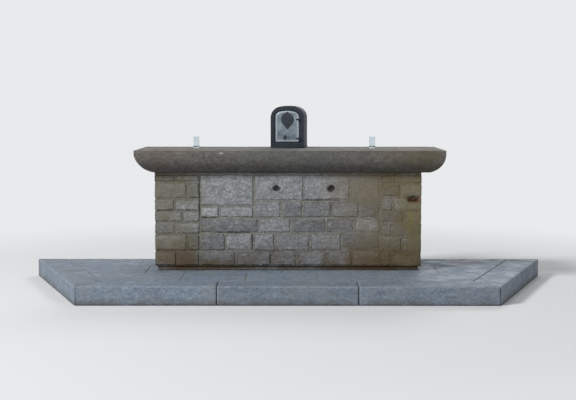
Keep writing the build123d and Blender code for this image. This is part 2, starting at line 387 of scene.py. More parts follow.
def sunk(points, quads, depth):
    """Points moved into their surface, square to it"""
    across = points[quads[:, 2]] - points[quads[:, 0]]
    along = points[quads[:, 3]] - points[quads[:, 1]]
    facing = np.cross(across, along)
    normals = np.zeros_like(points)
    for corner in range(4):
        np.add.at(normals, quads[:, corner], facing)
    normals = normals / np.maximum(np.linalg.norm(normals, axis=1, keepdims=True), 1e-12)
    return points - normals * depth[:, None]


def edge_nearness(points, low, high, reach):
    """1 on the edges of a block's sides, falling to 0 at the reach from them"""
    gaps = np.concatenate([points - low, high - points], axis=1)
    return 1 - smoothstep(np.sort(gaps, axis=1)[:, 1], 0, reach)


def corner_shift(points, low, high, slack, random):
    """Moves each corner of a block inwards by its own amount, and what lies between with it"""
    moved = np.zeros_like(points)
    for corner, weight in corner_weights((points - low) / (high - low)):
        moved += weight[:, None] * (np.where(corner, -1, 1) * random.random(3) * slack)
    return points + moved


def mark_reach(points, mark):
    """How far points are from the middle of an oval mark on the front, where 1 is its rim"""
    x, z, half_width, half_height = mark[:4]
    return np.hypot((points[:, 0] - x) / half_width, (points[:, 2] - z) / half_height)


# Materials

def srgb(red, green, blue):
    """A colour as it looks on a screen, 0 to 255, for a shader's colour socket"""
    def linear(value):
        share = value / 255
        return share / 12.92 if share <= 0.04045 else ((share + 0.055) / 1.055) ** 2.4
    return (linear(red), linear(green), linear(blue), 1.0)


BACKGROUND = srgb(232, 234, 236)


def connect(node, inputs):
    """Gives a node's inputs their values, or links them to the sockets given for them"""
    for name, value in inputs.items():
        if isinstance(value, bpy.types.NodeSocket):
            node.id_data.links.new(value, node.inputs[name])
        else:
            node.inputs[name].default_value = value


def add_node(tree, kind, inputs=None, **settings):
    made = tree.nodes.new(kind)
    for name, value in settings.items():
        setattr(made, name, value)
    connect(made, inputs or {})
    return made


class Look:
    """A node material. Its colour is laid coat over coat, and other calls give back an output socket."""

    def __init__(self, name):
        self.material = bpy.data.materials.new(name)
        self.material.use_nodes = True
        self.tree = self.material.node_tree
        self.surface = self.tree.nodes["Principled BSDF"]
        self.place = self.out("ShaderNodeTexCoord", output="Object")
        self.x, self.y, self.z = add_node(self.tree, "ShaderNodeSeparateXYZ", {0: self.place}).outputs
        self.colour = None

    def out(self, kind, inputs=None, output=0, **settings):
        return add_node(self.tree, kind, inputs, **settings).outputs[output]

    def stretched(self, scale, vector=None):
        return self.out("ShaderNodeMapping", {"Vector": vector or self.place, "Scale": scale})

    def own_place(self):
        """Place that differs by a block's tone, so that no pattern runs on from one block to the next"""
        inputs = {0: self.value("tone"), 1: (7.3, 5.1, 9.7), 2: self.place}
        return self.out("ShaderNodeVectorMath", inputs, operation="MULTIPLY_ADD")

    def noise(self, scale, detail=4.0, roughness=0.55, vector=None):
        inputs = {"Vector": vector or self.place, "Scale": scale, "Detail": detail, "Roughness": roughness}
        return self.out("ShaderNodeTexNoise", inputs)

    def cells(self, scale, feature="F1", vector=None):
        inputs = {"Vector": vector or self.place, "Scale": scale}
        return self.out("ShaderNodeTexVoronoi", inputs, "Distance", feature=feature)

    def flecks(self, scale, vector):
        """A chance value for each small angular grain"""
        return self.out("ShaderNodeTexVoronoi", {"Vector": vector, "Scale": scale}, "Color")

    def value(self, name):
        return self.out("ShaderNodeAttribute", output="Fac", attribute_name=name)

    def span(self, value, from_low, from_high, to_low=0.0, to_high=1.0):
        """A value taken from one range to another, eased at both ends"""
        inputs = {0: value, 1: from_low, 2: from_high, 3: to_low, 4: to_high}
        return self.out("ShaderNodeMapRange", inputs, interpolation_type="SMOOTHSTEP")

    def math(self, operation, first, second=0.0):
        return self.out("ShaderNodeMath", {0: first, 1: second}, operation=operation)

    def times(self, first, *others):
        for other in others:
            first = self.math("MULTIPLY", first, other)
        return first

    def ramp(self, value, *stops):
        """Starts the colour: a ramp of places on it, each with its own"""
        made = add_node(self.tree, "ShaderNodeValToRGB", {0: value})
        elements = made.color_ramp.elements
        for index, (place, colour) in enumerate(stops):
            element = elements[index] if index < 2 else elements.new(place)
            element.position = place
            element.color = colour
        self.colour = made.outputs[0]

    def lay(self, colour, *shares):
        """Covers the colour so far with another, as far as the product of the shares says"""
        inputs = {0: self.times(*shares), 6: self.colour, 7: colour}
        self.colour = self.out("ShaderNodeMix", inputs, 2, data_type="RGBA")

    def brighten(self, factor):
        self.colour = self.out("ShaderNodeHueSaturation", {"Color": self.colour, "Value": factor})

    def finish(self, roughness, relief, constants):
        """Relief is a list of heights, each with the depth in metres that a height of 1 stands for"""
        normal = {}
        for height, depth in relief:
            normal = {"Normal": self.out("ShaderNodeBump", {"Height": height, "Distance": depth, **normal})}
        inputs = {"Base Color": self.colour, "Roughness": roughness, **constants, **normal}
        connect(self.surface, inputs)
        return self.material


def mineral(name, dark, middle, light, spread):
    """Mottled stone with light and dark grains. Each block is a little lighter or darker than the next."""
    look = Look(name)
    place = look.own_place()
    mottle = look.noise(27, 12, 0.74, look.stretched((0.8, 0.8, 1.5), place))
    look.ramp(mottle, (0.30, dark), (0.5, middle), (0.70, light))
    look.brighten(look.span(look.value("tone"), -1.6, 1.6, 1 - spread, 1 + spread))
    beds = look.noise(9, 8, 0.62, look.stretched((0.8, 0.8, 3.0), place))
    look.brighten(look.span(beds, 0.36, 0.64, 0.93, 1.07))
    look.brighten(look.span(look.flecks(95, place), 0.15, 0.85, 0.86, 1.14))
    look.brighten(look.span(look.flecks(230, place), 0.15, 0.85, 0.78, 1.22))
    look.lay(light, look.span(look.noise(150, 5, 0.85, place), 0.55, 0.66, 0, 0.55))
    look.lay(dark, look.span(look.noise(85, 6, 0.85, place), 0.44, 0.35, 0, 0.6))
    spots = look.noise(34, 9, 0.8, place)
    look.lay(light, look.span(spots, 0.58, 0.62, 0, 0.42))
    look.lay(dark, look.span(spots, 0.42, 0.39, 0, 0.45))
    pores = look.span(look.cells(240, vector=place), 0.26, 0.12)
    shade = (*(0.45 * value for value in dark[:3]), 1.0)
    look.lay(shade, pores, look.span(mottle, 0.48, 0.60), 0.75)
    return look


def finished_stone(look, sheen, smooth, rough, coarse, specular):
    """Gives stone its relief, and a roughness between smooth and rough by its sheen"""
    place = look.own_place()
    heights = (
        (look.noise(30, 6, 0.62, place), 5.5),
        (look.cells(72, "SMOOTH_F1", place), 2.0),
        (look.noise(130, 6, 0.75, place), 2.4),
        (look.span(look.cells(240, vector=place), 0.05, 0.30), 0.8),
    )
    relief = [(height, depth * MM * coarse) for height, depth in heights]
    return look.finish(look.span(sheen, 0.3, 0.7, smooth, rough), relief, {"Specular IOR Level": specular})


def wall_stains(look):
    """Brown and olive staining that stones and mortar share, heavier at the ends and at the foot"""
    patches = look.span(look.noise(3.1, 5), 0.34, 0.56, 0.35, 1.0)
    look.lay(srgb(117, 107, 88), look.span(look.x, 0.16, 0.62, 0, 0.80), patches)
    look.lay(srgb(108, 98, 69), look.span(look.x, 0.60, 0.88, 0, 0.66), patches)
    look.lay(srgb(108, 102, 83), look.span(look.x, -0.60, -0.84, 0, 0.72), patches)
    from_middle = look.math("ABSOLUTE", look.x)
    olive = look.span(look.noise(4.3, 4, 0.6, look.stretched((1, 1, 1.8))), 0.52, 0.66)
    look.lay(srgb(100, 99, 73), olive, look.span(from_middle, 0.45, 0.95, 0.12, 0.48))
    look.brighten(look.span(look.z, 0.22, 0.42, 0.85, 1.0))
    foot = look.times(look.span(look.z, 0.44, 0.18), look.span(look.noise(6, 5), 0.32, 0.56))
    look.lay(srgb(92, 75, 55), foot, look.span(from_middle, 0.25, 0.85, 0.60, 0.90))
    # A thin yellow-green run below the rusty hollow
    wander = look.span(look.noise(6, 3, 0.6, look.stretched((0, 0, 1))), 0.3, 0.7, -0.022, 0.022)
    beside = look.math("ABSOLUTE", look.math("SUBTRACT", look.x, look.math("ADD", wander, RUN_PLACE)))
    run = (
        look.span(beside, 0.032, 0.002),
        look.span(look.noise(24, 6, 0.75), 0.38, 0.62),
        look.span(look.z, 0.34, 0.46),
        look.span(look.z, 0.73, 0.66),
        look.span(look.y, 0.30, 0.10),
    )
    look.lay(srgb(126, 121, 62), *run, 0.62)


def base_stone_look():
    look = mineral("altar_base_stone", srgb(94, 95, 95), srgb(125, 127, 129), srgb(160, 162, 163), 0.22)
    wall_stains(look)
    look.brighten(look.span(look.value("tone"), -1.6, 1.6, 0.87, 1.13))
    look.lay(srgb(163, 162, 157), look.span(look.noise(17, 6, 0.7), 0.60, 0.70, 0, 0.35))
    look.lay(srgb(156, 154, 148), look.value("edge"), 0.26)
    look.lay(srgb(98, 66, 40), look.value("rust"))
    # Dark in the hollows: painted shade together with dirt
    look.lay(srgb(44, 41, 38), look.value("stain"))
    return finished_stone(look, look.noise(45, 3), 0.80, 0.96, 1.0, 0.3)


def mortar_look(name, stained):
    look = mineral(name, srgb(104, 104, 101), srgb(130, 129, 125), srgb(156, 154, 149), 0.1)
    look.lay(srgb(108, 103, 92), look.span(look.noise(5, 6, 0.7), 0.46, 0.62, 0, 0.45))
    if stained:
        wall_stains(look)
    return finished_stone(look, look.noise(80, 3), 0.88, 0.98, 1.2, 0.25)


def mensa_stone_look():
    look = mineral("mensa_stone", srgb(75, 72, 69), srgb(99, 95, 91), srgb(126, 121, 115), 0.12)
    middle = look.span(look.math("ABSOLUTE", look.x), 0.75, 0.1)
    look.lay(srgb(85, 91, 89), middle, look.span(look.noise(5, 7, 0.7), 0.4, 0.6), 0.55)
    right = look.span(look.x, 0.35, 1.15)
    look.lay(srgb(88, 80, 57), right, look.span(look.noise(5, 5), 0.35, 0.6), 0.6)
    left = look.span(look.x, -0.5, -1.1)
    look.lay(srgb(98, 84, 75), left, look.span(look.noise(4, 5), 0.42, 0.62), 0.5)
    # Painted shade on the rounded underside: darker towards its foot, in vertical streaks
    underside_shade_streaks = look.span(look.noise(26, 4, 0.6, look.stretched((1, 1, 0.12))), 0.42, 0.62, 0.15, 0.6)
    look.lay(srgb(66, 64, 61), look.span(look.z, 1.08, 0.97), underside_shade_streaks)
    look.lay(srgb(124, 120, 114), look.value("edge"), 0.32)
    look.lay(srgb(168, 168, 163), look.value("stain"))
    return finished_stone(look, look.noise(30, 4), 0.62, 0.86, 0.8, 0.35)


def step_stone_look():
    # The blue cast in these greys is painted skylight; the stone itself is grey
    look = mineral("step_stone", srgb(88, 99, 112), srgb(112, 124, 138), srgb(138, 148, 158), 0.13)
    look.lay(srgb(132, 134, 134), look.span(look.noise(4, 7, 0.7), 0.45, 0.62, 0, 0.4))
    scuffs = look.noise(12, 8, 0.75, look.stretched((0.4, 1.5, 1)))
    look.lay(srgb(86, 92, 101), look.span(scuffs, 0.55, 0.66, 0, 0.4))
    look.lay(srgb(156, 158, 158), look.value("edge"), 0.4)
    low_down = look.span(look.z, 0.075, 0.0)
    look.lay(srgb(84, 82, 78), low_down, look.span(look.noise(9, 4), 0.3, 0.6, 0.2, 0.7))
    return finished_stone(look, look.noise(8, 5), 0.52, 0.85, 0.55, 0.4)


def iron_look(name, dark, light, rust):
    look = Look(name)
    look.ramp(look.noise(26, 6, 0.65), (0.32, dark), (0.68, light))
    look.lay(srgb(74, 52, 40), look.span(look.noise(60, 5, 0.75), 0.60, 0.72, 0, rust))
    look.lay(srgb(82, 89, 97), look.value("edge"), 0.4)
    relief = [(look.cells(75, "SMOOTH_F1"), 0.8 * MM), (look.noise(320, 3, 0.7), 0.25 * MM)]
    roughness = look.span(look.noise(42, 4), 0.3, 0.7, 0.52, 0.72)
    return look.finish(roughness, relief, {"Metallic": 0.3, "Specular IOR Level": 0.35})


def door_metal_look():
    look = Look("door_metal")
    stops = (0.34, srgb(98, 107, 117)), (0.5, srgb(123, 133, 142)), (0.66, srgb(148, 157, 164))
    look.ramp(look.noise(19, 6, 0.66), *stops)
    look.lay(srgb(86, 93, 101), look.span(look.noise(70, 5, 0.7), 0.58, 0.72, 0, 0.6))
    look.lay(srgb(184, 191, 196), look.value("edge"))
    look.lay(srgb(62, 70, 80), look.value("stain"))
    brushed = look.noise(500, 2, 0.6, look.stretched((1, 1, 0.15)))
    relief = [(look.cells(150, "SMOOTH_F1"), 0.5 * MM), (brushed, 0.06 * MM)]
    return look.finish(look.span(look.noise(50, 4), 0.3, 0.7, 0.40, 0.62), relief, {"Metallic": 0.7})


def glass_look():
    look = Look("vase_glass")
    look.ramp(look.noise(25, 3), (0.3, srgb(226, 236, 239)), (0.7, srgb(237, 243, 245)))
    smears = look.span(look.noise(60, 3), 0.45, 0.7, 0.01, 0.07)
    return look.finish(smears, [(look.noise(45, 2), 0.15 * MM)], {"Transmission Weight": 1.0, "IOR": 1.47})


looks = {
    "base_stone": base_stone_look(),
    "mensa_stone": mensa_stone_look(),
    "step_stone": step_stone_look(),
    "mortar": mortar_look("lime_mortar", True),
    "step_mortar": mortar_look("step_mortar", False),
    "dark_iron": iron_look("dark_iron", srgb(30, 36, 44), srgb(50, 57, 66), 0.35),
    "medallion": iron_look("medallion_metal", srgb(38, 44, 51), srgb(66, 72, 79), 0.12),
    "door_metal": door_metal_look(),
    "vase_glass": glass_look(),
}


def paint(node, look):
    """Gives a node of the frame its look"""
    materials = frame["nodes"][node].data.materials
    materials.clear()
    materials.append(looks[look])


# Masonry of the base

OPPOSITE = {"x-": "x+", "x+": "x-", "y-": "y+", "y+": "y-"}

base_low = Vector((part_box("altar_left_pier")[0].x, *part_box("altar_middle_wall")[0].yz))
base_high = Vector((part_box("altar_right_pier")[1].x, *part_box("altar_middle_wall")[1].yz))


def side_relief(points):
    """Unevenness of the base's sides that stones and mortar share"""
    return SIDE_RELIEF * bumps(points, 0.150, 40, 2)


def marks_in(marks, shown, low, high):
    """Those marks of the front that lie in a stone's space"""
    if "y-" not in shown:
        return []
    return [mark for mark in marks if low[0] < mark[0] < high[0] and low[2] < mark[1] < high[2]]


def add_stone(pile, low, high, shown, random):
    """One rough block that fills the space from low to high, less its joints, and its shown sides"""
    pits = marks_in(FRONT_PITS, shown, low, high)
    low, high = shrunk(low, high, HALF_JOINT, shown)
    hidden = (OPPOSITE[shown[0]],) if len(shown) == 1 else ()
    radius = random.uniform(3.5, 6.5) * MM
    spacing = FRONT_SPACING if "y-" in shown else BACK_SPACING
    spacings = [STONE_DEPTH if axis in "".join(hidden) else spacing for axis in "xyz"]
    fine = [[(pit[place], pit[place + 2]) for pit in pits] for place in (0, 1)]
    points, quads, caps = cut_block(low, high, radius, spacings, hidden, fine)
    arris, margin = (edge_nearness(points, low, high, reach * MM) for reach in (16, 45))
    points, edge = rounded(points, low, high, radius, hidden)
    slack = [FACE_SLACK if axis in "".join(shown) else CORNER_SLACK for axis in "xyz"]
    points = corner_shift(points, low, high, slack, random)
    seed = int(random.integers(1, 900))
    depth = side_relief(points) + STONE_RELIEF * bumps(points, 0.038, seed, 4)
    depth += random.uniform(0.0, 2.2) * MM * margin
    depth += ARRIS_CHIPS * arris * smoothstep(smooth_noise(points, 0.045, seed + 13), 0.05, 0.75)
    depth += ARRIS_WEAR * arris * (0.5 + 0.5 * smooth_noise(points, 0.014, seed + 17))
    stain = rust = 0.0
    for pit in pits:
        pit_depth, rusty = pit[4:]
        reach = mark_reach(points, pit) + 0.14 * smooth_noise(points, 0.024, 5)
        hollow = 1 - smoothstep(reach, 0.45, 1.0)
        depth += pit_depth * hollow
        # Each hollow darkens towards its middle with painted shade together with dirt, less where rust takes
        # its place
        stain = np.maximum(stain, smoothstep(hollow, 0.1, 0.9) * (1 - 0.55 * rusty) * 0.9)
        rust = np.maximum(rust, smoothstep(1.5 - reach, 0.0, 0.6) * rusty * 0.85)
    tone = random.uniform(-1, 1)
    for mark in marks_in(TONED_STONES, shown, low, high):
        tone = mark[2]
    pile.add(sunk(points, quads, depth), quads, caps, tone=tone, edge=edge, stain=stain, rust=rust)


def add_run(pile, side, joints, foot, top, random):
    """Stones in one side of the base, between the joints along it"""
    axis, sign = side
    outer = (base_low if sign == "-" else base_high)["xy".index(axis)]
    inner = outer + (STONE_DEPTH if sign == "-" else -STONE_DEPTH)
    for ends in zip(joints, joints[1:]):
        spans = [sorted(ends), sorted((outer, inner))]
        if axis == "x":
            spans.reverse()
        low, high = zip(*spans, (foot, top))
        add_stone(pile, low, high, (side,), random)


def split(start, end, typical, random):
    """Joints that cut a run into uneven stones of about the typical length"""
    count = max(1, round(abs(end - start) / typical))
    shares = np.cumsum([0, *random.uniform(0.7, 1.3, count)])
    return start + (end - start) * shares / shares[-1]


def pier(name, node, courses, seed):
    """Corner stones laid long and short by turns on the front and the back, with the end between them"""
    low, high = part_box(node)
    random = np.random.default_rng(seed)
    pile = Pile()
    left = low.x < 0
    end_side, outer_x, inner_x, inward = ("x-", low.x, high.x, 1) if left else ("x+", high.x, low.x, -1)
    width = abs(inner_x - outer_x)
    top = high.z
    for number, height in enumerate(courses):
        foot = top - height
        corners = []
        for face, face_y, into in (("y-", low.y, 1), ("y+", high.y, -1)):
            across, along = random.uniform(*CORNER_LONG), random.uniform(*CORNER_SHORT)
            if (number + (face == "y+") + left) % 2:
                across, along = along, across
            if width - across < SHORTEST_STONE:
                across = width
            x, y = outer_x + inward * across, face_y + into * along
            stone_low, stone_high = zip(sorted((outer_x, x)), sorted((face_y, y)), (foot, top))
            add_stone(pile, stone_low, stone_high, (end_side, face), random)
            if x != inner_x:
                add_run(pile, face, sorted((x, inner_x)), foot, top, random)
            corners.append(y)
        add_run(pile, end_side, split(*corners, END_STONE, random), foot, top, random)
        top = foot
    pile.piece(name, "base_stone", node)


def middle_wall():
    low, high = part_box("altar_middle_wall")
    random = np.random.default_rng(31)
    pile = Pile()
    for start, end, foot, top, joints in FRONT_RUNS:
        ends = (start or low.x, *joints, end or high.x)
        add_run(pile, "y-", ends, foot or low.z, top or high.z, random)
    levels = split(high.z, low.z, BACK_COURSE, random)
    for top, foot in zip(levels, levels[1:]):
        add_run(pile, "y+", split(low.x, high.x, BACK_STONE, random), foot, top, random)
    pile.piece("middle_wall_stones", "base_stone", "altar_middle_wall")


def add_mortar(pile, low, high, spacing, roughness, seed, joints=(), pits=()):
    """A block of mortar. The core has open joints and hollows, and shares the relief of the sides."""
    flat = ("z-", "z+")
    fine = [[(end, 8 * MM) for joint in joints for end in joint[place:place + 2]] for place in (0, 2)]
    spacings = (spacing, spacing, min(spacing, (high.z - low.z) / 2))
    points, quads, caps = cut_block(low, high, MORTAR_ROUNDING, spacings, flat, fine)
    points, edge = rounded(points, low, high, MORTAR_ROUNDING, flat)
    x, y, z = points.T
    depth = roughness * bumps(points, 0.055, seed)
    if joints:
        depth += side_relief(points)
        depth -= FLUSH_POINTING * smoothstep(x + 0.1 * smooth_noise(points, 0.2, 66), 0.10, 0.50)
    in_front = y < low.y + MORTAR_ROUNDING
    for start_x, end_x, start_z, end_z in joints:
        beside = np.hypot(x - np.clip(x, start_x, end_x), z - np.clip(z, start_z, end_z))
        beside += 2.5 * MM * smooth_noise(points, 0.024, 77)
        depth += OPEN_JOINT_DEPTH * (1 - smoothstep(beside, 1 * MM, 6 * MM)) * in_front
    for pit in pits:
        depth += 1.5 * pit[4] * (1 - smoothstep(mark_reach(points, pit), 0.9, 1.3)) * in_front
    pile.add(sunk(points, quads, depth), quads, caps, edge=edge)


def mortar():
    """Mortar core between the stones, the bed under the mensa and the recessed line at the foot"""
    pile = Pile()
    recess = Vector((MORTAR_RECESS, MORTAR_RECESS, 0))
    core = base_low + recess, base_high - recess
    marks = {"joints": OPEN_JOINTS, "pits": FRONT_PITS}
    add_mortar(pile, *core, spacing=14 * MM, roughness=2.2 * MM, seed=50, **marks)
    add_mortar(pile, *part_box("mensa_mortar_bed"), spacing=12 * MM, roughness=4.0 * MM, seed=51)
    add_mortar(pile, *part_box("altar_footing"), spacing=14 * MM, roughness=4.0 * MM, seed=52)
    pile.piece("base_mortar", "mortar", "mensa_mortar_bed", "altar_footing")


# Mensa

def edge_run(height, width, rise):
    """How far a rounded underside lies in from the face, at a height above the slab's foot"""
    chord = math.hypot(width, rise)
    radius = (chord ** 2 / 4 + MENSA_BULGE ** 2) / (2 * MENSA_BULGE)
    back = radius - MENSA_BULGE
    centre_x = -width / 2 - rise / chord * back
    centre_z = rise / 2 + width / chord * back
    height = np.minimum(height, rise)
    return -(centre_x + np.sqrt(radius ** 2 - (height - centre_z) ** 2))


def mensa():
    """Table slab: a block whose rounded edges run in to the base on three sides"""
    low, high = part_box("mensa_slab")
    size = high - low
    rise = size.z - MENSA_FACE
    xs, ys = (cuts(low[axis], high[axis], MENSA_ROUNDING, 10 * MM) for axis in (0, 1))
    underside = low.z + rise * np.linspace(0, 1, 23) ** 1.35
    face = cuts(low.z + rise, high.z, MENSA_ROUNDING, 8 * MM, round_low=False)
    points, quads, caps = block_grid(xs, ys, np.unique(np.concatenate([underside[:-1], face])))
    points, edge = rounded(points, low, high, MENSA_ROUNDING, ("z-",))
    height = np.maximum(points[:, 2] - low.z, 0)
    widths = (base_low.x - low.x, base_low.y - low.y, high.x - base_high.x - MENSA_RIGHT_LEDGE)
    left, front, right = (edge_run(height, width, rise) for width in widths)
    points[:, 0] = low.x + left + (points[:, 0] - low.x) * (size.x - left - right) / size.x
    points[:, 1] = low.y + front + (points[:, 1] - low.y) * (size.y - front) / size.y
    depth = MENSA_WAVES * bumps(points, 0.30, 71) + MENSA_RELIEF * bumps(points, 0.050, 75)
    chipped = smoothstep(smooth_noise(points, 0.055, 83), 0.25, 0.75)
    chipped *= smoothstep(smooth_noise(points, 0.017, 84), -0.6, 0.4)
    depth += MENSA_CHIPS * edge * chipped
    reach = mark_reach(points, MENSA_SCAR) + 0.3 * smooth_noise(points, 0.02, 9)
    scar = (1 - smoothstep(reach, 0.4, 1.0)) * (points[:, 1] < low.y + 0.03)
    depth += MENSA_SCAR[4] * scar
    pile = Pile()
    pile.add(sunk(points, quads, depth), quads, caps, edge=edge, stain=scar)
    pile.piece("mensa_table", "mensa_stone", "mensa_slab")


# Step

def footprint(node):
    """Corners of an upright block as seen from above, counter-clockwise from its front left"""
    points = np.array([vertex.co[:] for vertex in frame["nodes"][node].data.vertices])
    foot = points[points[:, 2] < points[:, 2].min() + 0.1 * MM, :2]
    foot = np.unique(np.round(foot, 4), axis=0)
    out = foot - foot.mean(axis=0)
    return foot[np.argsort(np.arctan2(out[:, 1], out[:, 0]))]


def add_slab(pile, corners, foot, top, random, gap, radius, spacing):
    """A flat stone on a four-cornered footprint, less the gap all round"""
    first, second, third, fourth = (np.asarray(corner) for corner in corners)
    length = (np.linalg.norm(second - first) + np.linalg.norm(third - fourth)) / 2
    width = (np.linalg.norm(fourth - first) + np.linalg.norm(third - second)) / 2
    low, high = (gap, gap, foot), (length - gap, width - gap, top)
    points, quads, caps = cut_block(low, high, radius, (spacing, spacing, spacing), ("z-",))
    points, edge = rounded(points, low, high, radius, ("z-",))
    along, across = points[:, :1] / length, points[:, 1:2] / width
    near = first * (1 - along) + second * along
    far = fourth * (1 - along) + third * along
    points = np.concatenate([near * (1 - across) + far * across, points[:, 2:]], axis=1)
    seed = int(random.integers(1, 900))
    depth = SLAB_WAVES * bumps(points, 0.16, seed) + SLAB_RELIEF * bumps(points, 0.03, seed + 3)
    depth += 0.55 * radius * edge * smoothstep(smooth_noise(points, 0.05, seed + 5), 0.2, 0.7)
    points = sunk(points, quads, depth)
    points[:, 2] = np.maximum(points[:, 2], foot)
    pile.add(points, quads, caps, tone=random.uniform(-1, 1), edge=edge)


def kerbs(random):
    for node in sorted(node for node in frame["nodes"] if "kerb" in node):
        pile = Pile()
        low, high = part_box(node)
        add_slab(pile, footprint(node), low.z, high.z, random, gap=1.5 * MM, radius=12 * MM, spacing=20 * MM)
        pile.piece(node + "_stone", "step_stone", node)


def paving(random):
    """Rows of flags, and the mortar that shows between them"""
    low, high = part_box("step_paving")
    outline = footprint("step_paving")
    front, back = outline[:2], outline[:1:-1]
    flags = Pile()
    for row in range(FLAG_ROWS):
        lines = [front + (back - front) * share for share in (row / FLAG_ROWS, (row + 1) / FLAG_ROWS)]
        joints = split(*np.mean(lines, axis=0)[:, 0], FLAG_LENGTH, random)
        near, far = ([(x, line[0, 1]) for x in (line[0, 0], *joints[1:-1], line[1, 0])] for line in lines)
        for index in range(len(joints) - 1):
            corners = (near[index], near[index + 1], far[index + 1], far[index])
            top = high.z - random.uniform(0, 1.2) * MM
            add_slab(flags, corners, low.z, top, random, gap=2.2 * MM, radius=4 * MM, spacing=24 * MM)
    flags.piece("step_flags", "step_stone", "step_paving")
    between = Pile()
    outline[2:, 1] -= 6 * MM
    foot, top = low.z + MM, high.z - 3 * MM
    add_slab(between, outline, foot, top, random, gap=MM, radius=2 * MM, spacing=60 * MM)
    between.piece("step_flag_joints", "mortar", look="step_mortar")


def step():
    random = np.random.default_rng(12)
    kerbs(random)
    paving(random)
    paint("step_core", "step_stone")


# Tabernacle

BOTTOM_STEPS, SIDE_STEPS, SHOULDER_STEPS, CROWN_STEPS = 72, 72, 20, 36


def arch_sizes(inset):
    """Half-width, shoulder radius, its centre across and up, crown radius and its centre's height"""
    half = CUPBOARD_WIDTH / 2 - inset
    shoulder = SHOULDER_RADIUS - inset
    crown = CROWN_RADIUS - inset
    crown_z = CUPBOARD_HEIGHT - CROWN_RADIUS
    shoulder_x = half - shoulder
    shoulder_z = crown_z + math.sqrt((crown - shoulder) ** 2 - shoulder_x ** 2)
    return half, shoulder, shoulder_x, shoulder_z, crown, crown_z


def arch_side(inset, foot):
    """Right half of an arched outline, from its foot to the crown"""
    half, shoulder, shoulder_x, shoulder_z, crown, crown_z = arch_sizes(inset)
    tilt = math.atan2(shoulder_z - crown_z, shoulder_x)
    rise = np.linspace(foot, shoulder_z, SIDE_STEPS, endpoint=False)
    turn = np.linspace(0, tilt, SHOULDER_STEPS, endpoint=False)
    over = np.linspace(tilt, math.pi / 2, CROWN_STEPS, endpoint=False)
    across = [np.full(SIDE_STEPS, half), shoulder_x + shoulder * np.cos(turn), crown * np.cos(over)]
    up = [rise, shoulder_z + shoulder * np.sin(turn), crown_z + crown * np.sin(over)]
    return np.stack([np.concatenate(across), np.concatenate(up)], axis=1)


def whole_arch(inset, foot):
    """Arched outline drawn in by inset, from its lower right over the crown to its lower left"""
    right = arch_side(inset, foot)
    return np.concatenate([right, [[0, CUPBOARD_HEIGHT - inset]], right[::-1] * (-1, 1)])


def arch_loop(inset, foot):
    """The same outline, closed by a level foot"""
    arch = whole_arch(inset, foot)
    return np.concatenate([arch, np.linspace(arch[-1], arch[0], BOTTOM_STEPS, endpoint=False)[1:]])


def inside_distance(across, up, inset, foot):
    """How far points lie inside an arched outline"""
    half, shoulder, shoulder_x, shoulder_z, crown, crown_z = arch_sizes(inset)
    side = np.minimum(half - np.abs(across), up - foot)
    side = np.minimum(side, crown - np.hypot(across, up - crown_z))
    from_shoulder = shoulder - np.hypot(np.abs(across) - shoulder_x, up - shoulder_z)
    in_corner = (np.abs(across) > shoulder_x) & (up > shoulder_z)
    return np.where(in_corner, np.minimum(side, from_shoulder), side)


def loft(loops, closed=True):
    """Quads that join each loop of points to the next, and the last to the first where it is closed"""
    number = np.arange(len(loops) * len(loops[0])).reshape(len(loops), -1)
    caps = () if closed else (number[0, ::-1], number[-1])
    number = np.pad(number, ((0, int(closed)), (0, 1)), "wrap")
    return np.concatenate(loops), grid_quads(number, True), caps


def outward(points, quads, caps=()):
    """Turns a closed mesh's faces so that they look outwards"""
    faces = [quads[:, (0, 1, 2)], quads[:, (0, 2, 3)]]
    faces += [np.array([(cap[0], a, b) for a, b in zip(cap[1:], cap[2:])]) for cap in caps]
    corner = points[np.concatenate(faces)]
    volume = np.einsum("ij,ij->i", corner[:, 0], np.cross(corner[:, 1], corner[:, 2])).sum()
    if volume >= 0:
        return points, quads, caps
    return points, quads[:, ::-1], [np.asarray(cap)[::-1] for cap in caps]


def add_turned(pile, points, quads, caps=(), **values):
    """Adds a closed mesh from the tabernacle's own frame, turned and moved to its place on the mensa"""
    points, quads, caps = outward(points, quads, caps)
    across, into, up = points.T
    cosine, sine = math.cos(CUPBOARD_TURN), math.sin(CUPBOARD_TURN)
    x = CUPBOARD_FRONT[0] + across * cosine + into * sine
    y = CUPBOARD_FRONT[1] - across * sine + into * cosine
    pile.add(np.stack([x, y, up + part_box("mensa_slab")[1].z], axis=1), quads, caps, **values)


def stood(outline, into):
    """A flat outline, across and up, stood at a depth"""
    return np.insert(outline, 1, into, axis=1)


def around(turns, reach):
    """Points round a centre, at each turn's own reach or at the same reach"""
    return np.stack([np.cos(turns), np.sin(turns)], axis=1) * np.reshape(reach, (-1, 1))


def add_rivet(pile, centre, facing, radius, height):
    """A rivet's round head on a surface: its foot's centre, and the way it faces"""
    facing = Vector(facing).normalized()
    side = facing.orthogonal().normalized()
    other = facing.cross(side)
    turns = np.linspace(0, 2 * math.pi, 16, endpoint=False)
    ring = np.array([side * math.cos(turn) + other * math.sin(turn) for turn in turns])
    loops = []
    for lean in np.radians((0, 22, 45, 66, 82)):
        rise = np.array(facing) * height * math.sin(lean)
        loops.append(np.array(centre) + ring * radius * math.cos(lean) + rise)
    add_turned(pile, *loft(loops, closed=False), edge=1.0)


def frame_foot(inset):
    return PLATE_THICKNESS + inset * (FRAME_SILL - PLATE_THICKNESS) / FRAME_BAND


